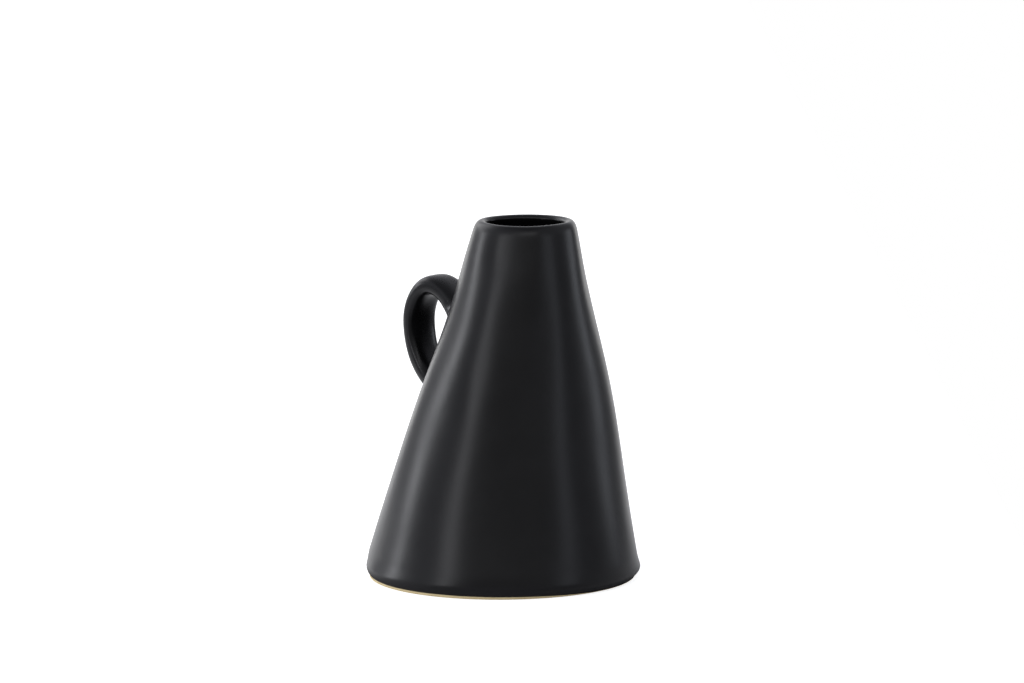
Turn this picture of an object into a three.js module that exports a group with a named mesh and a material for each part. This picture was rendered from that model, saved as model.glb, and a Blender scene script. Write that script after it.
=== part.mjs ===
// A stoneware vase with a strap handle: a tall cone, pressed by hand, that leans away from its handle.
// Millimetres, +Z up. The origin is the centre of the foot, on the table, and the handle is on the -X side.

import * as THREE from 'three';

// Driving dimensions: the body
const HEIGHT = 202; // table to the crest of the lip
const FOOT_RADIUS = 78.4; // the cone's radius, carried down to the table
const NECK_RADIUS = 29.6; // the cone's radius where the lip starts
const BELLY = 0.3; // how far the cone swells past a straight taper, half way up
const LEAN = 17.4; // how far the mouth stands off the foot's axis, away from the handle
const WALL = 6; // thickness of the wall
const TUCK = 3.9; // how far the wall draws in under itself at the table
const TUCK_HEIGHT = 7; // height over which it draws in

// The foot and the floor
const FOOT_HEIGHT = 3; // height of the bare ring
const FOOT_WIDTH = 13.5; // radial width of the ring's standing face
const FOOT_BEVEL = 0.6; // softened lower edges of the ring
const FLOOR_THICKNESS = 6; // thickness of the slab that closes the bottom

// The lip
const LIP_HEIGHT = 8.5; // height of the rolled lip
const LIP_THICKNESS = 7.4; // thickness of the roll
const LIP_CREST = 5.5; // how far in from the outside the crest stands
const LIP_OUTER_TURN = 6.4; // how far below the crest the roll starts to turn over, outside
const LIP_INNER_TURN = 3.6; // the same inside

// The handle, with its angles in the plane of the loop, from +X towards +Z
const STRAP_WIDTH = 21; // across the loop
const STRAP_THICKNESS = 11; // through the strap
const STRAP_ROUNDNESS = 0.85; // 1 makes its section an ellipse, and less squares it
const HANDLE_REACH = 31; // wall to the outermost point of the strap's middle line
const HANDLE_HEIGHT = 137.2; // height of that outermost point
const LOWER_ROOT = 104.5; // height where the strap's lower end meets the wall
const UPPER_ROOT = 147.5; // height where its upper end does
const LOWER_ANGLE = THREE.MathUtils.degToRad(175); // direction in which the strap leaves the wall
const UPPER_ANGLE = THREE.MathUtils.degToRad(131);
const LOWER_PULLS = [10.2, 18.6]; // how hard the curve is drawn at the root and below the outermost point
const UPPER_PULLS = [12.5, 36.8]; // the same above the outermost point and at the upper root
const ROOT_SPREAD = 0.14; // how much wider and thicker the strap is at its roots
const SPREAD_LENGTH = 9; // length over which it spreads

// The lutes, smoothed coils of clay that join the strap to the wall
const LUTE_OUT = 4.8; // how far a lute runs out over the wall
const LUTE_UP = 6; // how far it runs up the strap
const LUTE_EDGE = 0.6; // thickness of its smoothed edges

const SEAT = 0.3; // clearance between pieces that seat on a curved face

// The slow waves that hands left in the wall: how many swells go round it, how many turns each makes
// from foot to lip, how high it stands, and the bearing of one crest at the foot, in degrees.
const WAVES = [
  { swells: 3, turns: -1, height: 0.82, crest: -35 },
  { swells: 4, turns: 0, height: 0.7, crest: 27 },
  { swells: 4, turns: 1.5, height: 0.33, crest: 17 },
  { swells: 4, turns: -1, height: 0.33, crest: 5 },
  { swells: 2, turns: -1.5, height: 0.32, crest: -48 },
  { swells: 2, turns: -2, height: 0.27, crest: 7 },
  { swells: 6, turns: -1, height: 0.22, crest: 16 },
];
const CALM_FOOT = 14; // height over which the waves grow from the round foot
const CALM_LIP = 24; // height below the lip over which they die down
const CALM_SHARE = 0.6; // share of the waves that is gone at the lip

// Fineness of the faceted solids
const SIDES = 72;
const WALL_RINGS = 24;
const LINING_RINGS = 12;
const STRAP_SIDES = 24;
const STRAP_STEP = 4.5;
const CAP_RINGS = 3;
const FILLET_STEPS = 4;
const FOOT_RINGS = 3;
const LIP_STEPS = 5;
const SLIDE_REACH = 30; // how far either way a point may slide to find the wall
const SLIDE_HALVINGS = 40;

const NECK = HEIGHT - LIP_HEIGHT;
const FLOOR_TOP = FOOT_HEIGHT + FLOOR_THICKNESS;
const { smoothstep } = THREE.MathUtils;

// The cone before hands press it: a straight taper with a slight belly.
function coneRadius(z) {
  const t = z / NECK;
  return FOOT_RADIUS + (NECK_RADIUS - FOOT_RADIUS) * t + 4 * BELLY * t * (1 - t);
}

// The outside of the wall, drawn in under itself near the table.
function outerRadius(z) {
  const left = Math.max(0, 1 - z / TUCK_HEIGHT);
  return coneRadius(z) - TUCK * left * left;
}

function leanAt(z) {
  return (LEAN * z) / HEIGHT;
}

// How far the hands moved the wall out at a bearing and a height.
function pressAt(bearing, z) {
  const grow = smoothstep(z, FOOT_HEIGHT, CALM_FOOT);
  const calm = 1 - CALM_SHARE * smoothstep(z, NECK - CALM_LIP, NECK);
  let out = 0;
  for (const wave of WAVES) {
    const round = wave.swells * (bearing - THREE.MathUtils.degToRad(wave.crest));
    out += wave.height * Math.cos(round + (2 * Math.PI * wave.turns * z) / HEIGHT);
  }
  return out * grow * calm;
}

// A turned form, made leaning and hand-pressed. The profile is a list of [radius, height].
function pressedTurning(profile) {
  const points = profile.map(([radius, height]) => new THREE.Vector2(radius, height));
  const geometry = new THREE.LatheGeometry(points, SIDES);
  geometry.rotateX(Math.PI / 2);
  const position = geometry.attributes.position;
  for (let i = 0; i < position.count; i += 1) {
    const z = position.getZ(i);
    const bearing = Math.atan2(position.getY(i), position.getX(i));
    const share = 1 + pressAt(bearing, z) / coneRadius(z);
    position.setX(i, leanAt(z) + position.getX(i) * share);
    position.setY(i, position.getY(i) * share);
  }
  return geometry;
}

function rise(from, to, steps) {
  return Array.from({ length: steps + 1 }, (unused, i) => from + ((to - from) * i) / steps);
}

function wall() {
  const outside = rise(FOOT_HEIGHT, NECK, WALL_RINGS).map((z) => [outerRadius(z), z]);
  const lining = [...rise(NECK, FLOOR_TOP, LINING_RINGS), FOOT_HEIGHT];
  const inside = lining.map((z) => [coneRadius(z) - WALL, z]);
  return pressedTurning([...outside, ...inside, outside[0]]);
}

// A quarter of an ellipse, from its side up to its top or back down from there.
function quarterTurn(middle, width, height, down = false) {
  const turn = rise(0, Math.PI / 2, LIP_STEPS).map((angle) => [
    middle + width * Math.cos(angle),
    HEIGHT - height + height * Math.sin(angle),
  ]);
  return down ? turn.reverse() : turn;
}

// The roll stands on the wall's top face. It follows the cone outside, turns over at the crest, and
// overhangs the inside of the wall a little.
function lipRoll() {
  const crest = coneRadius(HEIGHT - LIP_OUTER_TURN) - LIP_CREST;
  const outer = quarterTurn(crest, LIP_CREST, LIP_OUTER_TURN);
  const inner = quarterTurn(crest, LIP_CREST - LIP_THICKNESS, LIP_INNER_TURN, true).slice(1);
  const foot = [[coneRadius(NECK) - WALL, NECK], [coneRadius(NECK), NECK]];
  return pressedTurning([...foot, ...outer, ...inner, foot[0]]);
}

function footRing() {
  const standing = outerRadius(0) - FOOT_BEVEL;
  const outside = rise(FOOT_BEVEL, FOOT_HEIGHT, FOOT_RINGS).map((z) => [outerRadius(z), z]);
  const bore = standing - FOOT_WIDTH;
  const inside = [[bore - FOOT_BEVEL, FOOT_HEIGHT], [bore - FOOT_BEVEL, FOOT_BEVEL], [bore, 0]];
  return pressedTurning([[standing, 0], ...outside, ...inside, [standing, 0]]);
}

function floor() {
  const rim = [FOOT_HEIGHT, FLOOR_TOP].map((z) => [coneRadius(z) - WALL - SEAT, z]);
  return pressedTurning([[0, FOOT_HEIGHT], ...rim, [0, FLOOR_TOP]]);
}

// The point on the wall's outside at the bearing and height of p, held off it by a gap.
function ontoWall(p, gap) {
  const x = p.x - leanAt(p.z);
  const bearing = Math.atan2(p.y, x);
  const radius = outerRadius(p.z) + pressAt(bearing, p.z) + gap;
  return new THREE.Vector3(leanAt(p.z) + radius * Math.cos(bearing), radius * Math.sin(bearing), p.z);
}

// Slides p along a direction until it lies off the wall by a gap.
function slideToWall(p, direction, gap) {
  let inner = -SLIDE_REACH;
  let outer = SLIDE_REACH;
  for (let i = 0; i < SLIDE_HALVINGS; i += 1) {
    const middle = (inner + outer) / 2;
    const q = p.clone().addScaledVector(direction, middle);
    const axis = new THREE.Vector3(leanAt(q.z), 0, q.z);
    if (q.distanceTo(axis) > ontoWall(q, gap).distanceTo(axis)) outer = middle;
    else inner = middle;
  }
  return p.clone().addScaledVector(direction, outer);
}

function loopPoint(x, z, angle = 0, pull = 0) {
  return new THREE.Vector3(x + pull * Math.cos(angle), 0, z + pull * Math.sin(angle));
}

// The strap's middle line: out from the lower root, up past the outermost point, over and down to the
// upper root.
function strapLine() {
  const wallAt = (z) => leanAt(z) - outerRadius(z) - pressAt(Math.PI, z);
  const low = [wallAt(LOWER_ROOT), LOWER_ROOT];
  const high = [wallAt(UPPER_ROOT), UPPER_ROOT];
  const far = [wallAt(HANDLE_HEIGHT) - HANDLE_REACH, HANDLE_HEIGHT];
  const line = new THREE.CurvePath();
  line.add(new THREE.CubicBezierCurve3(
    loopPoint(...low),
    loopPoint(...low, LOWER_ANGLE, LOWER_PULLS[0]),
    loopPoint(...far, -Math.PI / 2, LOWER_PULLS[1]),
    loopPoint(...far),
  ));
  line.add(new THREE.CubicBezierCurve3(
    loopPoint(...far),
    loopPoint(...far, Math.PI / 2, UPPER_PULLS[0]),
    loopPoint(...high, UPPER_ANGLE, UPPER_PULLS[1]),
    loopPoint(...high),
  ));
  return line;
}

const LINE = strapLine();
const LINE_LENGTH = LINE.getLength();
const ACROSS = new THREE.Vector3(0, 1, 0);

function squared(value) {
  return Math.sign(value) * Math.abs(value) ** STRAP_ROUNDNESS;
}

// One section of the strap, at a distance along its middle line, grown by a gap on all sides.
function strapSection(distance, gap = 0) {
  const centre = LINE.getPointAt(distance / LINE_LENGTH);
  const along = LINE.getTangentAt(distance / LINE_LENGTH);
  const through = new THREE.Vector3().crossVectors(ACROSS, along);
  const toRoot = Math.min(distance, LINE_LENGTH - distance) / SPREAD_LENGTH;
  const spread = 1 + ROOT_SPREAD * Math.exp(-toRoot * toRoot);
  const halfWidth = (STRAP_WIDTH * spread) / 2 + gap;
  const halfThickness = (STRAP_THICKNESS * spread) / 2 + gap;
  return rise(0, 2 * Math.PI, STRAP_SIDES).slice(0, -1).map((angle) => centre.clone()
    .addScaledVector(ACROSS, halfWidth * squared(Math.cos(angle)))
    .addScaledVector(through, halfThickness * squared(Math.sin(angle))));
}

// The strap's section at a root, run on along the strap until it follows the wall.
function rootSection(upper, strapGap, wallGap) {
  const distance = upper ? LINE_LENGTH : 0;
  const away = LINE.getTangentAt(distance / LINE_LENGTH).multiplyScalar(upper ? -1 : 1);
  return strapSection(distance, strapGap).map((p) => slideToWall(p, away, wallGap));
}

// Skins a list of rings of equal length. An open skin gets its two ends closed with a point each, and a
// closed one runs from the last ring back to the first.
function skin(rings, ends = null) {
  const count = rings[0].length;
  const points = rings.flat();
  const index = [];
  const last = ends ? rings.length - 1 : rings.length;
  for (let r = 0; r < last; r += 1) {
    const next = (r + 1) % rings.length;
    for (let i = 0; i < count; i += 1) {
      const j = (i + 1) % count;
      index.push(r * count + i, next * count + j, r * count + j);
      index.push(r * count + i, next * count + i, next * count + j);
    }
  }
  if (ends) {
    const first = points.length;
    points.push(...ends);
    const top = (rings.length - 1) * count;
    for (let i = 0; i < count; i += 1) {
      const j = (i + 1) % count;
      index.push(first, i, j);
      index.push(first + 1, top + j, top + i);
    }
  }
  const geometry = new THREE.BufferGeometry().setFromPoints(points);
  geometry.setIndex(index);
  return geometry;
}

// The strap's end face at a root follows the wall: rings that shrink towards the middle of the seat.
function seatRings(upper) {
  const rim = rootSection(upper, 0, SEAT);
  const middle = rim.reduce((sum, p) => sum.add(p), new THREE.Vector3()).divideScalar(rim.length);
  const rings = rise(1, 0, CAP_RINGS + 1).slice(0, -1).map((share) => rim.map((p) => {
    const q = middle.clone().lerp(p, share);
    return share === 1 ? p : ontoWall(q, SEAT);
  }));
  return { rings, middle: ontoWall(middle, SEAT) };
}

function handle() {
  const clear = LUTE_UP;
  const steps = Math.round((LINE_LENGTH - 2 * clear) / STRAP_STEP);
  const free = rise(clear, LINE_LENGTH - clear, steps).map((distance) => strapSection(distance));
  const low = seatRings(false);
  const high = seatRings(true);
  return skin([...low.rings.reverse(), ...free, ...high.rings], [low.middle, high.middle]);
}

// A lute goes round one root of the strap. Its section has a smoothed edge on the wall, one on the strap,
// and a hollow curve between them.
function lute(upper) {
  const up = upper ? LINE_LENGTH - LUTE_UP : LUTE_UP;
  const corner = rootSection(upper, SEAT, SEAT);
  const hollow = rootSection(upper, SEAT + LUTE_EDGE, SEAT + LUTE_EDGE);
  const strapInner = strapSection(up, SEAT);
  const strapOuter = strapSection(up, SEAT + LUTE_EDGE);
  const middle = corner.reduce((sum, p) => sum.add(p), new THREE.Vector3()).divideScalar(corner.length);
  const rings = corner.map((p, i) => {
    const outward = p.clone().sub(middle).setLength(LUTE_OUT);
    const edge = p.clone().add(outward);
    const fillet = new THREE.QuadraticBezierCurve3(
      ontoWall(edge, SEAT + LUTE_EDGE),
      hollow[i],
      strapOuter[i],
    );
    return [p, ontoWall(edge, SEAT), ...fillet.getPoints(FILLET_STEPS), strapInner[i]];
  });
  return skin(upper ? rings : rings.reverse());
}

const glaze = new THREE.MeshStandardMaterial({ color: 0x1c1c1e, roughness: 0.4, metalness: 0 });
const bareClay = new THREE.MeshStandardMaterial({ color: 0xc6b892, roughness: 0.85, metalness: 0 });

function piece(name, geometry, material) {
  const mesh = new THREE.Mesh(geometry, material);
  mesh.name = name;
  return mesh;
}

const vase = new THREE.Group();
vase.add(piece('foot_ring', footRing(), bareClay));
vase.add(piece('floor', floor(), glaze));
vase.add(piece('wall', wall(), glaze));
vase.add(piece('lip_roll', lipRoll(), glaze));
vase.add(piece('handle', handle(), glaze));
vase.add(piece('lower_lute', lute(false), glaze));
vase.add(piece('upper_lute', lute(true), glaze));

export default vase;
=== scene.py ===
import math

import bmesh
import bpy
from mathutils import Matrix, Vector


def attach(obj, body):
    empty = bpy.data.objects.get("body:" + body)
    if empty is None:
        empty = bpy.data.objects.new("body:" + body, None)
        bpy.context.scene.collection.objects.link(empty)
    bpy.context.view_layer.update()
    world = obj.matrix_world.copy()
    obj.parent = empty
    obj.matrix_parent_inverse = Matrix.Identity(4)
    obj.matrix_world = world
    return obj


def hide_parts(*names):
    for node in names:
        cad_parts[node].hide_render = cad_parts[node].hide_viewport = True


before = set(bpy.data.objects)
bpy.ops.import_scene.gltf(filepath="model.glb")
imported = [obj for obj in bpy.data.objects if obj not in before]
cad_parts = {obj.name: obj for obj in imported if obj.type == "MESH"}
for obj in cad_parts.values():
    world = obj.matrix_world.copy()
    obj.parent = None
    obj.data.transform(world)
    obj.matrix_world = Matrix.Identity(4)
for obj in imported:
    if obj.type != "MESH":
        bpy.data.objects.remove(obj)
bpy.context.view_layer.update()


# The camera
# A long lens, a little above the mouth, that looks at the vase 42 degrees round from its side. The handle
# then shows at the left, half behind the wall.
VIEW = math.radians(42)
AWAY = Vector((-math.sin(VIEW), math.cos(VIEW), 0))  # level, from the camera to the vase
RIGHTWARDS = Vector((math.cos(VIEW), math.sin(VIEW), 0))
CAMERA_DISTANCE = 3.004
CAMERA_RIGHT = 0.0051
CAMERA_HEIGHT = 0.5747
CAMERA_TILT = math.radians(8.38)
FOCAL_PIXELS = 5450
IMAGE_WIDTH = 1024

camera_data = bpy.data.cameras.new("camera")
camera_data.lens = FOCAL_PIXELS * camera_data.sensor_width / IMAGE_WIDTH
camera = bpy.data.objects.new("camera", camera_data)
bpy.context.scene.collection.objects.link(camera)
camera.location = CAMERA_RIGHT * RIGHTWARDS - CAMERA_DISTANCE * AWAY + Vector((0, 0, CAMERA_HEIGHT))
camera.rotation_euler = (math.pi / 2 - CAMERA_TILT, 0, VIEW)
bpy.context.scene.camera = camera


# The wall
# A hollow cone of stoneware, raised by hand and pressed while soft, so that slow waves run over it, and it
# leans away from the handle. A satin black glaze covers it outside, and a wetter coat of the same inside.
# All sizes are in millimetres.
MM = 0.001
HEIGHT = 202
FOOT_RADIUS = 78.4
NECK_RADIUS = 29.6
BELLY = 0.3
LEAN = 17.4
WALL = 6
TUCK = 5.4
TUCK_HEIGHT = 7
TUCK_MORE = 2.6
TUCK_MORE_AT = -13
TUCK_MORE_SPREAD = 38
FOOT_HEIGHT = 3
FLOOR_TOP = 9
LIP_HEIGHT = 8.5
NECK = HEIGHT - LIP_HEIGHT
WAVES = (  # swells round the wall, turns from foot to lip, height, bearing of a crest at the foot
    (3, -1.0, 0.82, -35),
    (4, 0.0, 0.70, 27),
    (4, 1.5, 0.33, 17),
    (4, -1.0, 0.33, 5),
    (2, -1.5, 0.32, -48),
    (2, -2.0, 0.27, 7),
    (6, -1.0, 0.22, 16),
)
CALM_FOOT = 14
CALM_LIP = 24
CALM_SHARE = 0.6
DABS = (  # bearing, height, how far out, spread round in degrees, spread up: where a palm or thumb leant
    (-42, 193, 0.6, 9, 17),
    (17, 198, 0.27, 7, 43),
    (-15, 128, 0.55, 10, 26),
    (-67, 162, -0.5, 9, 40),
    (-72, 125, -0.45, 7, 13),
    (-114, 145, -0.6, 23, 14),
    (-106, 13, 0.4, 16, 6),
)
SIDES = 288
WALL_STEP = 1.5
INSIDE_STEPS = 60


def smoothstep(value, low, high):
    t = min(1.0, max(0.0, (value - low) / (high - low)))
    return t * t * (3 - 2 * t)


def cone_radius(z):
    t = z / NECK
    return FOOT_RADIUS + (NECK_RADIUS - FOOT_RADIUS) * t + 4 * BELLY * t * (1 - t)


def outer_radius(z):
    left = max(0.0, 1 - z / TUCK_HEIGHT)
    return cone_radius(z) - TUCK * left * left


def lean_at(z):
    return LEAN * z / HEIGHT


def aside(bearing, middle, spread):
    """How many spreads a bearing in radians is from a middle in degrees."""
    return math.degrees(math.remainder(bearing - math.radians(middle), 2 * math.pi)) / spread


def hump(away):
    """1 at no spreads away, and fading to 0 in about three."""
    return math.exp(-away ** 2 / 2)


def press_at(bearing, z):
    """How far hands moved the wall out."""
    out = 0.0
    for swells, turns, height, crest in WAVES:
        out += height * math.cos(swells * (bearing - math.radians(crest)) + 2 * math.pi * turns * z / HEIGHT)
    out *= 1 - CALM_SHARE * smoothstep(z, NECK - CALM_LIP, NECK)
    for crest, middle, height, spread, spread_up in DABS:
        out += height * hump(aside(bearing, crest, spread)) * hump((z - middle) / spread_up)
    turned_in = max(0.0, 1 - z / TUCK_HEIGHT) ** 2 * hump(aside(bearing, TUCK_MORE_AT, TUCK_MORE_SPREAD))
    return out * smoothstep(z, FOOT_HEIGHT, CALM_FOOT) - TUCK_MORE * turned_in


def pressed_ring(radius, z):
    """One turn round the leaning, pressed vase."""
    ring = []
    for i in range(SIDES):
        bearing = 2 * math.pi * i / SIDES
        r = radius * (1 + press_at(bearing, z) / cone_radius(z))
        ring.append(Vector((lean_at(z) + r * math.cos(bearing), r * math.sin(bearing), z)))
    return ring


def rise(low, high, steps):
    return [low + (high - low) * i / steps for i in range(steps + 1)]


SHARP = math.radians(38)


def skin(name, rings, poles=None, finishes=(), inside=None):
    """A closed smooth mesh over rings of points. With poles its two ends close on a point each, and
    without them the last ring joins the first. Faces for which inside is true take the second finish."""
    count = len(rings[0])
    points = [point * MM for ring in rings for point in ring]
    faces = []
    pairs = len(rings) - 1 if poles else len(rings)
    for r in range(pairs):
        here, there = r * count, (r + 1) % len(rings) * count
        for i in range(count):
            j = (i + 1) % count
            faces.append((here + i, here + j, there + j, there + i))
    if poles:
        points += [pole * MM for pole in poles]
        last = (len(rings) - 1) * count
        for i in range(count):
            j = (i + 1) % count
            faces.append((len(points) - 2, j, i))
            faces.append((len(points) - 1, last + i, last + j))
    mesh = bpy.data.meshes.new(name)
    mesh.from_pydata(points, [], faces)
    work = bmesh.new()
    work.from_mesh(mesh)
    bmesh.ops.recalc_face_normals(work, faces=work.faces)
    for face in work.faces:
        face.smooth = True
        if inside and inside(face.calc_center_median() / MM):
            face.material_index = 1
    for edge in work.edges:
        edge.smooth = edge.calc_face_angle(0) < SHARP
    work.to_mesh(mesh)
    work.free()
    for finish in finishes:
        mesh.materials.append(finish)
    piece = bpy.data.objects.new(name, mesh)
    bpy.context.scene.collection.objects.link(piece)
    return piece


class Wire:
    """A socket of a shader. Sums of wires and numbers add Math nodes."""

    def __init__(self, shader, socket):
        self.shader = shader
        self.socket = socket

    def maths(self, operation, *values):
        inputs = dict(enumerate(values))
        return self.shader.add("ShaderNodeMath", {"operation": operation}, inputs)

    def __add__(self, other):
        return self.maths("ADD", self, other)

    __radd__ = __add__

    def __sub__(self, other):
        return self.maths("SUBTRACT", self, other)

    def __rsub__(self, other):
        return self.maths("SUBTRACT", other, self)

    def __mul__(self, other):
        return self.maths("MULTIPLY", self, other)

    __rmul__ = __mul__

    def __truediv__(self, other):
        return self.maths("DIVIDE", self, other)

    def __rtruediv__(self, other):
        return self.maths("DIVIDE", other, self)

    def clamped(self):
        return self.maths("MINIMUM", self.maths("MAXIMUM", self, 0.0), 1.0)

    def ramp(self, low, high):
        """0 below low, 1 above high and smooth between."""
        settings = {"interpolation_type": "SMOOTHSTEP"}
        inputs = {"Value": self, "From Min": low, "From Max": high}
        return self.shader.add("ShaderNodeMapRange", settings, inputs)


MIX_FIRST, MIX_SECOND, MIX_RESULT = 6, 7, 2  # the Mix node's own numbers for its colours


class Shader:
    """The node tree of a material or the world."""

    def __init__(self, owner):
        owner.use_nodes = True
        self.tree = owner.node_tree
        self.tree.nodes.clear()

    def add(self, kind, settings=None, inputs=None, output=0):
        node = self.tree.nodes.new(kind)
        for name, value in (settings or {}).items():
            setattr(node, name, value)
        for name, value in (inputs or {}).items():
            if isinstance(value, Wire):
                self.tree.links.new(value.socket, node.inputs[name])
            else:
                node.inputs[name].default_value = value
        return Wire(self, node.outputs[output]) if node.outputs else node

    def mix(self, share, first, second):
        """Between two colours."""
        inputs = {"Factor": share, MIX_FIRST: first, MIX_SECOND: second}
        return self.add("ShaderNodeMix", {"data_type": "RGBA"}, inputs, output=MIX_RESULT)

    def blend(self, share, first, second):
        """Between two surfaces."""
        return self.add("ShaderNodeMixShader", {}, {0: share, 1: first, 2: second})

    def noise(self, place, size, detail=2.0, roughness=0.5):
        """A cloudy value from 0 to 1 with features of about that size in millimetres."""
        inputs = {"Vector": place, "Scale": 1 / (size * MM), "Detail": detail, "Roughness": roughness}
        return self.add("ShaderNodeTexNoise", {}, inputs)

    def place(self):
        return self.add("ShaderNodeTexCoord", output="Object")

    def along(self, place, direction):
        """How far a place lies in a direction."""
        inputs = {0: place, 1: tuple(direction)}
        return self.add("ShaderNodeVectorMath", {"operation": "DOT_PRODUCT"}, inputs, output="Value")

    def height(self, place):
        return self.add("ShaderNodeSeparateXYZ", {}, {0: place}, output="Z")

    def bump(self, height):
        """A bump from a height in millimetres."""
        return self.add("ShaderNodeBump", {}, {"Strength": 1.0, "Distance": MM, "Height": height})


GLAZE_DEEP = (0.0019, 0.0019, 0.0021, 1)
GLAZE_CLOUD = (0.0028, 0.0028, 0.0031, 1)
GLAZE_IOR = 1.305
GLAZE_SHEEN = (0.95, 0.955, 1, 1)
CLOUD_SIZE = 22
CLOUD_DETAIL = 3.0
CLOUD_EDGES = (0.35, 0.7)
CLOUD_ROUGHNESS = 0.08
GRAIN_SIZE = 0.7
GRAIN_ROUGHNESS = 0.04
PEEL_SIZE = 1.6
PEEL_DEPTH = 0.004
DRAG_SIZE = 13
DRAG_DEPTH = 0.06
SATIN = 0.31
WET = 0.12
DRY_COLOUR = (0.013, 0.013, 0.015, 1)
DRY = 0.7
DRY_GRAIN = 0.1
DRY_GLOSS = 0.1
DRY_TO_MELTED = (2.5, 7)


def dry_glaze(shader, grain):
    """The thin matt glaze that is left near the foot, where most of the coat was wiped off."""
    inputs = {"Base Color": DRY_COLOUR, "Roughness": DRY + (grain - 0.5) * DRY_GRAIN,
              "Specular IOR Level": DRY_GLOSS}
    return shader.add("ShaderNodeBsdfPrincipled", {}, inputs)


def glaze_finish(name, roughness):
    """Black glaze: a little cloudy, with the fine peel that a melted coat keeps."""
    finish = bpy.data.materials.new(name)
    shader = Shader(finish)
    place = shader.place()
    cloud = shader.noise(place, CLOUD_SIZE, CLOUD_DETAIL)
    grain = shader.noise(place, GRAIN_SIZE)
    relief = shader.noise(place, PEEL_SIZE) * PEEL_DEPTH + shader.noise(place, DRAG_SIZE) * DRAG_DEPTH
    inputs = {
        "Base Color": shader.mix(cloud.ramp(*CLOUD_EDGES), GLAZE_DEEP, GLAZE_CLOUD),
        "Roughness": roughness + (cloud - 0.5) * CLOUD_ROUGHNESS + (grain - 0.5) * GRAIN_ROUGHNESS,
        "IOR": GLAZE_IOR,
        "Specular Tint": GLAZE_SHEEN,
        "Normal": shader.bump(relief),
    }
    melted = shader.add("ShaderNodeBsdfPrincipled", {}, inputs)
    height = shader.height(place) / MM
    surface = shader.blend(height.ramp(*DRY_TO_MELTED), dry_glaze(shader, grain), melted)
    shader.add("ShaderNodeOutputMaterial", {}, {"Surface": surface})
    return finish


satin_glaze = glaze_finish("satin_black_glaze", SATIN)
wet_glaze = glaze_finish("wet_black_glaze", WET)


def faces_mouth(point):
    """True inside the vase."""
    reach = math.hypot(point.x - lean_at(point.z), point.y)
    return reach < cone_radius(point.z) - WALL / 2 and point.z > FOOT_HEIGHT


wall_steps = round((NECK - FOOT_HEIGHT) / WALL_STEP)
rings = [pressed_ring(outer_radius(z), z) for z in rise(FOOT_HEIGHT, NECK, wall_steps)]
rings += [pressed_ring(cone_radius(z) - WALL, z) for z in rise(NECK, FLOOR_TOP, INSIDE_STEPS) + [FOOT_HEIGHT]]
wall = skin("wall", rings, finishes=(satin_glaze, wet_glaze), inside=faces_mouth)
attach(wall, "root")
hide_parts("wall")


# The lip
# The clay at the mouth is thickened into a roll. It follows the cone outside, turns over at the crest and
# overhangs the inside a little, and the glaze runs over it without a break. It hangs a little lower where
# a thumb held it, at the front left.
LIP_THICKNESS = 7.4
LIP_CREST = 4.7
LIP_OUTER_TURN = 6.4
LIP_INNER_TURN = 2.2
LIP_PULL_UP = 3.7
LIP_PULL_OUT = 2.6
LIP_STEPS = 18
LIP_DROP = 0.75
LIP_DROP_AT = -73
LIP_DROP_SPREAD = 50
LIP_RISE_STEPS = 5

outer_shoulder = HEIGHT - LIP_OUTER_TURN
inner_shoulder = HEIGHT - LIP_INNER_TURN
crest = cone_radius(outer_shoulder) - LIP_CREST


def bezier(points, steps):
    """Points along a curve with two pulls."""
    line = []
    for t in rise(0, 1, steps):
        weights = ((1 - t) ** 3, 3 * t * (1 - t) ** 2, 3 * t * t * (1 - t), t ** 3)
        line.append(sum((point * weight for point, weight in zip(points, weights)), Vector()))
    return line


turn_start = Vector((cone_radius(outer_shoulder), 0, outer_shoulder))
up_cone = turn_start - Vector((cone_radius(NECK), 0, NECK))
lip_crest = Vector((crest, 0, HEIGHT))
outer_turn = bezier((
    turn_start,
    turn_start + up_cone.normalized() * LIP_PULL_UP,
    lip_crest + Vector((LIP_PULL_OUT, 0, 0)),
    lip_crest,
), LIP_STEPS)
lip_profile = [(cone_radius(z), z) for z in rise(NECK, outer_shoulder, LIP_RISE_STEPS)[:-1]]
lip_profile += [(point.x, point.z) for point in outer_turn]
overhang = LIP_THICKNESS - LIP_CREST
for angle in rise(math.pi / 2, 0, LIP_STEPS)[1:]:
    reach, up = overhang * math.cos(angle), LIP_INNER_TURN * math.sin(angle)
    lip_profile.append((crest - reach, inner_shoulder + up))
inner_edge = lip_profile[-1]
lip_foot = (cone_radius(NECK) - WALL, NECK)
for share in rise(0, 1, LIP_RISE_STEPS)[1:]:
    lip_profile.append(tuple(a + (b - a) * share for a, b in zip(inner_edge, lip_foot)))
rings = [pressed_ring(r, z) for r, z in lip_profile]
for ring in rings:
    for point in ring:
        bearing = math.atan2(point.y, point.x - lean_at(point.z))
        drop = LIP_DROP * hump(aside(bearing, LIP_DROP_AT, LIP_DROP_SPREAD))
        point.z -= drop * smoothstep(point.z, NECK, HEIGHT)


def inside_lip(point):
    return faces_mouth(point) and point.z < inner_shoulder - LIP_DROP


lip = skin("lip_roll", rings, finishes=(satin_glaze, wet_glaze), inside=inside_lip)
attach(lip, "root")
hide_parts("lip_roll")


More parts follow.
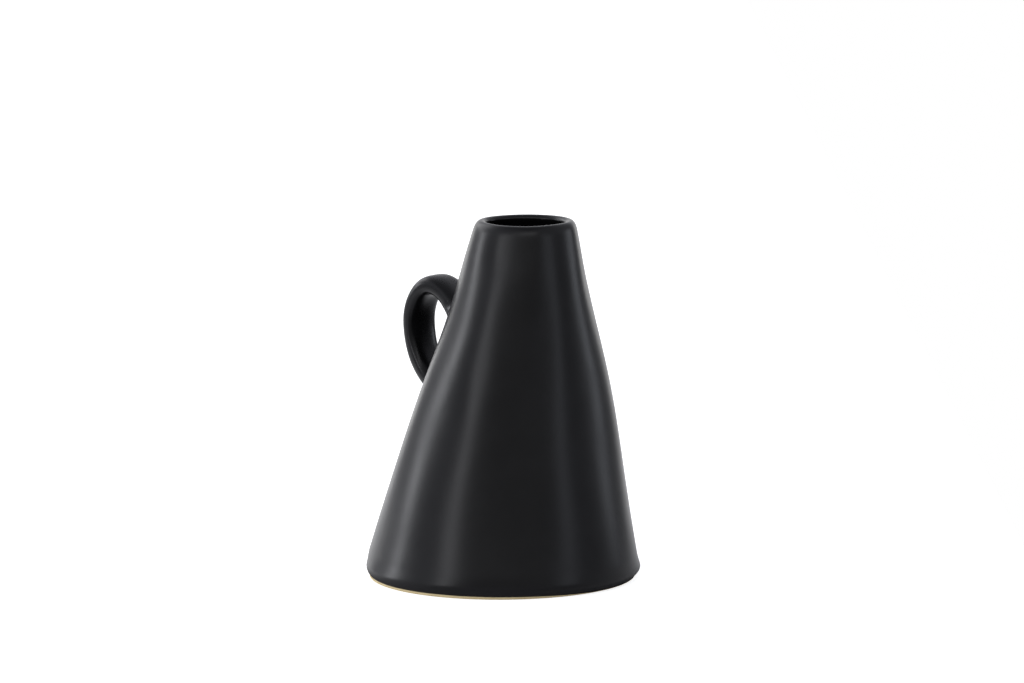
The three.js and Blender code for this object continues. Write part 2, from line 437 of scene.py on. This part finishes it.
# The foot ring
# The vase stands on a ring of bare buff clay. The glaze was wiped off just above the table by hand, so its
# edge wanders: it runs higher at the front left and almost touches the table at the right.
FOOT_WIDTH = 13.5
FOOT_BEVEL = 0.35
BAND_HEIGHT = 1.5
BAND_STEPS = 4
TUCK_STEPS = 6
STANDING_STEPS = 6
CLAY_LIGHT = (0.74, 0.625, 0.38, 1)
CLAY_DARK = (0.60, 0.485, 0.28, 1)
CLAY_ROUGHNESS = 0.85
CLAY_CLOUD_SIZE = 6
CLAY_CLOUD_DETAIL = 4.0
GROG_SIZE = 0.5
GROG_DETAIL = 3.0
GROG_COARSENESS = 0.7
GROG_DEPTH = 0.05
GROG_ROUGHNESS = 0.1
MOTTLE = 0.6
MOTTLE_EDGES = (0.35, 0.85)
GLAZE_LINE = 1.5
GLAZE_LINE_DRIFT = 1.1
GLAZE_LINE_SIDE = (0.1, 0.8)
GLAZE_LINE_WANDER = 0.6
GLAZE_LINE_SIZE = 30
GLAZE_LINE_BLUR = 0.12


def clay_finish(name, glazed):
    """Fired buff clay with fine grog. With glazed, dry glaze covers it above the glaze line."""
    finish = bpy.data.materials.new(name)
    shader = Shader(finish)
    place = shader.place()
    cloud = shader.noise(place, CLAY_CLOUD_SIZE, CLAY_CLOUD_DETAIL)
    grog = shader.noise(place, GROG_SIZE, GROG_DETAIL, GROG_COARSENESS)
    inputs = {
        "Base Color": shader.mix((cloud * MOTTLE + grog * MOTTLE).ramp(*MOTTLE_EDGES), CLAY_DARK, CLAY_LIGHT),
        "Roughness": CLAY_ROUGHNESS + (grog - 0.5) * GROG_ROUGHNESS,
        "IOR": GLAZE_IOR,
        "Normal": shader.bump(grog * GROG_DEPTH),
    }
    surface = shader.add("ShaderNodeBsdfPrincipled", {}, inputs)
    if glazed:
        wander = (shader.noise(place, GLAZE_LINE_SIZE) - 0.5) * GLAZE_LINE_WANDER
        side = shader.along(place, RIGHTWARDS) / (FOOT_RADIUS * MM)
        line = GLAZE_LINE - side.ramp(*GLAZE_LINE_SIDE) * GLAZE_LINE_DRIFT + wander
        over = (shader.height(place) / MM - line).ramp(-GLAZE_LINE_BLUR, GLAZE_LINE_BLUR)
        surface = shader.blend(over, surface, dry_glaze(shader, grog))
    shader.add("ShaderNodeOutputMaterial", {}, {"Surface": surface})
    return finish


foot_finish = clay_finish("bare_buff_clay_at_glaze_line", True)
band = outer_radius(BAND_HEIGHT)
standing = band - FOOT_BEVEL
bore = standing - FOOT_WIDTH
foot_profile = [(band, z) for z in rise(FOOT_BEVEL, BAND_HEIGHT, BAND_STEPS)]
foot_profile += [(outer_radius(z), z) for z in rise(BAND_HEIGHT, FOOT_HEIGHT, TUCK_STEPS)[1:]]
foot_profile += [(bore - FOOT_BEVEL, FOOT_HEIGHT), (bore - FOOT_BEVEL, FOOT_BEVEL)]
foot_profile += [(r, 0) for r in rise(bore, standing, STANDING_STEPS)]
foot = skin("foot_ring", [pressed_ring(r, z) for r, z in foot_profile], finishes=(foot_finish,))
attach(foot, "root")
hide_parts("foot_ring")


# The floor
# A slab of the same clay closes the bottom, smoothed into the wall with a wet sponge. Glaze pools on it
# inside, and below it stays bare, inside the ring that the vase stands on.
FLOOR_GAP = 0.3
FLOOR_BARE = 0.5
UNDER_STEPS = 12
POOL_STEPS = 24

under_finish = clay_finish("bare_buff_clay", False)
under_edge, pool_edge = (cone_radius(z) - WALL - FLOOR_GAP for z in (FOOT_HEIGHT, FLOOR_TOP))
floor_profile = [(r, FOOT_HEIGHT) for r in rise(0, under_edge, UNDER_STEPS)[1:]]
floor_profile += [(r, FLOOR_TOP) for r in rise(pool_edge, 0, POOL_STEPS)[:-1]]
rings = [pressed_ring(r, z) for r, z in floor_profile]
poles = [Vector((lean_at(z), 0, z)) for z in (FOOT_HEIGHT, FLOOR_TOP)]


def above_clay(point):
    return point.z > FOOT_HEIGHT + FLOOR_BARE


floor = skin("floor", rings, poles, finishes=(under_finish, wet_glaze), inside=above_clay)
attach(floor, "root")
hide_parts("floor")


# The handle
# A pulled strap of clay, bent into an ear-shaped loop just big enough for a finger. Both of its ends were
# pressed on to the wall while it was soft, and it is wider there. Its lower and outer arm are twisted a
# little and pinched by the fingers that pulled it.
STRAP_WIDTH = 21
STRAP_THICKNESS = 11
STRAP_ROUNDNESS = 0.75
STRAP_TWIST = math.radians(8)
TWIST_ENDS = (0.45, 0.75)
STRAP_PINCH = 1.0
STRAP_WAVES = (  # swells round the strap, turns along it, height, phase
    (2, 1.5, 0.12, 40),
    (3, -2.5, 0.10, 200),
    (5, 3.5, 0.05, 90),
)
HANDLE_REACH = 31
HANDLE_HEIGHT = 137.2
LOWER_ROOT = 104.5
UPPER_ROOT = 147.5
LOWER_ANGLE = math.radians(175)
UPPER_ANGLE = math.radians(131)
LOWER_PULLS = (10.2, 18.6)
UPPER_PULLS = (12.5, 36.8)
ROOT_SPREAD = 0.14
ROOT_LENGTH = 6
ROOT_DEPTH = -1.5
SPREAD_LENGTH = 9
STRAP_GLOSS = 0.28
STRAP_SIDES = 72
STRAP_STEPS = 70


def loop_point(x, z, angle=0.0, pull=0.0):
    return Vector((x + pull * math.cos(angle), 0, z + pull * math.sin(angle)))


def wall_at(z):
    """Where the wall's outside is behind the handle."""
    return lean_at(z) - outer_radius(z) - press_at(math.pi, z)


low = (wall_at(LOWER_ROOT), LOWER_ROOT)
high = (wall_at(UPPER_ROOT), UPPER_ROOT)
far = (wall_at(HANDLE_HEIGHT) - HANDLE_REACH, HANDLE_HEIGHT)
strap_line = bezier((
    loop_point(*low),
    loop_point(*low, LOWER_ANGLE, LOWER_PULLS[0]),
    loop_point(*far, -math.pi / 2, LOWER_PULLS[1]),
    loop_point(*far),
), STRAP_STEPS // 2)[:-1] + bezier((
    loop_point(*far),
    loop_point(*far, math.pi / 2, UPPER_PULLS[0]),
    loop_point(*high, UPPER_ANGLE, UPPER_PULLS[1]),
    loop_point(*high),
), STRAP_STEPS)
strap_run = [0.0]
for here, there in zip(strap_line, strap_line[1:]):
    strap_run.append(strap_run[-1] + (there - here).length)
STRAP_LENGTH = strap_run[-1]
ACROSS = Vector((0, 1, 0))


def strap_place(distance):
    """The middle line's point and direction, a distance along the strap."""
    i = 0
    while i < len(strap_run) - 2 and strap_run[i + 1] < distance:
        i += 1
    share = (distance - strap_run[i]) / (strap_run[i + 1] - strap_run[i])
    before, after = max(i - 1, 0), min(i + 2, len(strap_line) - 1)
    first = (strap_line[i + 1] - strap_line[before]).normalized()
    second = (strap_line[after] - strap_line[i]).normalized()
    return strap_line[i].lerp(strap_line[i + 1], share), first.lerp(second, share).normalized()


def squared(value):
    return math.copysign(abs(value) ** STRAP_ROUNDNESS, value)


def unevenness(distance, angle):
    out = 0.0
    for swells, turns, height, phase in STRAP_WAVES:
        along_it = 2 * math.pi * turns * distance / STRAP_LENGTH + math.radians(phase)
        out += height * math.cos(swells * angle + along_it)
    return out


def strap_section(distance, grow=0.0):
    """One turn round the strap."""
    centre, along = strap_place(distance)
    turned = 1 - smoothstep(distance / STRAP_LENGTH, *TWIST_ENDS)
    twist = STRAP_TWIST * turned
    inward = ACROSS.cross(along)
    across = ACROSS * math.cos(twist) + inward * math.sin(twist)
    through = inward * math.cos(twist) - ACROSS * math.sin(twist)
    to_root = min(distance, STRAP_LENGTH - distance) / SPREAD_LENGTH
    spread = 1 + ROOT_SPREAD * math.exp(-to_root * to_root)
    half_width = (STRAP_WIDTH - STRAP_PINCH * turned) * spread / 2 + grow
    half_thickness = (STRAP_THICKNESS - STRAP_PINCH * turned) * spread / 2 + grow
    section = []
    for i in range(STRAP_SIDES):
        angle = 2 * math.pi * i / STRAP_SIDES
        out = unevenness(distance, angle)
        sideways = across * (half_width + out) * squared(math.cos(angle))
        section.append(centre + sideways + through * (half_thickness + out) * squared(math.sin(angle)))
    return section


def onto_wall(point, gap):
    """The place on the wall's outside at a point's bearing and height, held off it by a gap."""
    x = point.x - lean_at(point.z)
    bearing = math.atan2(point.y, x)
    radius = outer_radius(point.z) + press_at(bearing, point.z) + gap
    return Vector((lean_at(point.z) + radius * math.cos(bearing), radius * math.sin(bearing), point.z))


SLIDE_REACH = 30
SLIDE_HALVINGS = 30


def root_section(upper, grow, gap):
    """The strap's section at a root, run on until it follows the wall."""
    distance = STRAP_LENGTH if upper else 0.0
    away = strap_place(distance)[1] * (-1 if upper else 1)
    section = []
    for point in strap_section(distance, grow):
        near, out = -SLIDE_REACH, SLIDE_REACH
        for _ in range(SLIDE_HALVINGS):
            middle = (near + out) / 2
            q = point + away * middle
            axis = Vector((lean_at(q.z), 0, q.z))
            if (q - axis).length > (onto_wall(q, gap) - axis).length:
                out = middle
            else:
                near = middle
        section.append(point + away * out)
    return section


strap_glaze = glaze_finish("strap_black_glaze", STRAP_GLOSS)
distances = rise(ROOT_LENGTH, STRAP_LENGTH - ROOT_LENGTH, STRAP_STEPS)
strap_rings = [root_section(False, 0, ROOT_DEPTH)]
strap_rings += [strap_section(distance) for distance in distances]
strap_rings += [root_section(True, 0, ROOT_DEPTH)]
strap_poles = [sum(ring, Vector()) / len(ring) for ring in (strap_rings[0], strap_rings[-1])]
handle = skin("handle", strap_rings, strap_poles, finishes=(strap_glaze,))
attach(handle, "root")
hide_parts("handle")


# The lutes
# Where the strap meets the wall, a coil of soft clay was pressed into the corner and smoothed with a
# finger, so that each root flows into the wall.
LUTE_OUT = 4.8
LUTE_STEPS = 12
LUTE_SINK = 0.05
LUTE_CORE = -1.0
CORNER_PULL = 2 / 3

for name, upper in (("lower_lute", False), ("upper_lute", True)):
    up = STRAP_LENGTH - ROOT_LENGTH if upper else ROOT_LENGTH
    corner = root_section(upper, 0, 0)
    inner = root_section(upper, LUTE_CORE, LUTE_CORE)
    on_strap = strap_section(up, -LUTE_SINK)
    middle = sum(corner, Vector()) / len(corner)
    rings = []
    for i, point in enumerate(corner):
        edge = onto_wall(point + (point - middle).normalized() * LUTE_OUT, -LUTE_SINK)
        pulls = (edge.lerp(point, CORNER_PULL), on_strap[i].lerp(point, CORNER_PULL))
        rings.append([inner[i]] + bezier((edge, *pulls, on_strap[i]), LUTE_STEPS))
    lute = skin(name, rings, finishes=(strap_glaze,))
    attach(lute, "root")
    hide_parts(name)


# The paper
# The vase stands on a strip of white paper that runs from in front of it to far behind. Seen straight or in
# the gloss it is white, and in the gloss it fades out towards the front, where the room is darker.
PAPER_LEFT = 0.9
PAPER_RIGHT = 0.3
PAPER_FRONT = 0.3
PAPER_BACK = 5.0
PAPER_DROP = 0.0001
PAPER_WHITE = (0.8, 0.8, 0.8, 1)
PAPER_GLOW = 0.72
PAPER_MIRRORED = (-0.1, 0.25)
PAPER_TURN = math.radians(40)
WHITE = (1, 1, 1, 1)

paper_mesh = bpy.data.meshes.new("paper")
corners = []
for side, reach in (
    (-PAPER_LEFT, -PAPER_FRONT),
    (PAPER_RIGHT, -PAPER_FRONT),
    (PAPER_RIGHT, PAPER_BACK),
    (-PAPER_LEFT, PAPER_BACK),
):
    corners.append(RIGHTWARDS * side + AWAY * reach - Vector((0, 0, PAPER_DROP)))
paper_mesh.from_pydata(corners, [], [(0, 1, 2, 3)])
paper = bpy.data.objects.new("paper", paper_mesh)
bpy.context.scene.collection.objects.link(paper)
paper_finish = bpy.data.materials.new("white_paper")
shader = Shader(paper_finish)
seen = shader.add("ShaderNodeLightPath", output="Is Camera Ray")
mirrored = shader.add("ShaderNodeLightPath", output="Is Glossy Ray")
through = shader.add("ShaderNodeLightPath", output="Is Transmission Ray")
back_left = AWAY * math.cos(PAPER_TURN) - RIGHTWARDS * math.sin(PAPER_TURN)
behind = shader.along(shader.place(), back_left).ramp(*PAPER_MIRRORED)
shown = (seen + (mirrored + through) * behind).clamped()
plain = shader.add("ShaderNodeBsdfDiffuse", {}, {"Color": PAPER_WHITE})
glow = shader.add("ShaderNodeEmission", {}, {"Color": WHITE, "Strength": PAPER_GLOW})
lit = shader.add("ShaderNodeAddShader", {}, {0: plain, 1: glow})
shader.add("ShaderNodeOutputMaterial", {}, {"Surface": shader.blend(shown, plain, lit)})
paper_mesh.materials.append(paper_finish)


# The light
# A pale room with a lighter wall at the left, a bright backdrop low behind the vase and a darker ceiling
# right above it. Eight soft lamps stand round the vase, the strongest at its left. Seen straight or through
# something clear, the room is plain white, and the gloss shows the room itself.
ROOM_COLOUR = (0.92, 0.93, 1, 1)
ROOM_LOW = 0.4
ROOM_HIGH = 0.78
ROOM_RISE = (0.05, 0.4)
BACKDROP = 1.3
BACKDROP_TURN = math.radians(-3)
BACKDROP_SIDES = (0.76, 0.86)
BACKDROP_TOP = (0.1, 0.4)
BACKDROP_FOOT = (-0.16, -0.06)
LEFT_WALL = 0.31
LEFT_WALL_EDGE = (0.3, 0.9)
CEILING = 0.48
CEILING_EDGE = (0.75, 0.92)
PLAIN_SIDE = (0.3, 0.9)
ROOM_FULL = 2.0

world = bpy.data.worlds.new("studio")
bpy.context.scene.world = world
shader = Shader(world)
direction = shader.add("ShaderNodeTexCoord", output="Generated")
back = shader.along(direction, AWAY * math.cos(BACKDROP_TURN) - RIGHTWARDS * math.sin(BACKDROP_TURN))
left = 0 - shader.along(direction, RIGHTWARDS)
up = shader.height(direction)
screen = back.ramp(*BACKDROP_SIDES) * (1 - up.ramp(*BACKDROP_TOP)) * up.ramp(*BACKDROP_FOOT)
level = ROOM_LOW + up.ramp(*ROOM_RISE) * (ROOM_HIGH - ROOM_LOW)
level = level + left.ramp(*LEFT_WALL_EDGE) * LEFT_WALL
level = level + screen * (BACKDROP - ROOM_LOW)
level = level + up.ramp(*CEILING_EDGE) * (CEILING - ROOM_HIGH)
shade = shader.mix((0 - back).ramp(*PLAIN_SIDE) + screen, ROOM_COLOUR, WHITE)
dark = shader.add("ShaderNodeBackground", {}, {"Color": (0, 0, 0, 1), "Strength": 0.0})
full = shader.add("ShaderNodeBackground", {}, {"Color": shade, "Strength": ROOM_FULL})
white = shader.add("ShaderNodeBackground", {}, {"Color": WHITE, "Strength": 1.0})
room = shader.blend(level / ROOM_FULL, dark, full)
seen = shader.add("ShaderNodeLightPath", output="Is Camera Ray")
through = shader.add("ShaderNodeLightPath", output="Is Transmission Ray")
shader.add("ShaderNodeOutputWorld", {}, {"Surface": shader.blend(seen + through, room, white)})

LAMP_DISTANCE = 1.6
LAMP_AIM = Vector((0.01, 0, 0.1))
PLAIN_LIGHT = Vector((1, 1, 1))
COOL_LIGHT = Vector((0.90, 0.94, 1))
LAMPS = (  # name, degrees from the camera's side of the vase, height, width, length, brightness, coolness
    ("back_left_lamp", -153, 0.15, 0.20, 0.40, 1.6, 0),
    ("left_lamp", -109, 0.38, 0.30, 0.58, 7.5, 0.3),
    ("window", -134, 1.00, 1.20, 1.00, 1.7, 0),
    ("front_left_lamp", -52, 0.45, 0.32, 0.90, 4.7, 0),
    ("overhead_strip", 0, 1.26, 2.20, 0.35, 2.0, 0),
    ("front_right_lamp", 55, 0.34, 0.24, 0.68, 2.45, 1),
    ("right_lamp", 104, 0.34, 0.32, 0.52, 3.7, 1),
    ("back_right_lamp", 150, 0.15, 0.16, 0.40, 1.0, 0),
)
for name, turn, height, width, length, brightness, coolness in LAMPS:
    lamp_data = bpy.data.lights.new(name, "AREA")
    lamp_data.shape = "RECTANGLE"
    lamp_data.size = width
    lamp_data.size_y = length
    lamp_data.energy = brightness * math.pi * width * length
    lamp_data.color = PLAIN_LIGHT.lerp(COOL_LIGHT, coolness)
    lamp = bpy.data.objects.new(name, lamp_data)
    bpy.context.scene.collection.objects.link(lamp)
    side = math.radians(turn)
    stand = (RIGHTWARDS * math.sin(side) - AWAY * math.cos(side)) * LAMP_DISTANCE
    lamp.location = stand + Vector((0, 0, height))
    lamp.rotation_euler = (LAMP_AIM - lamp.location).to_track_quat("-Z", "Y").to_euler()

bpy.context.scene.view_settings.view_transform = "Standard"
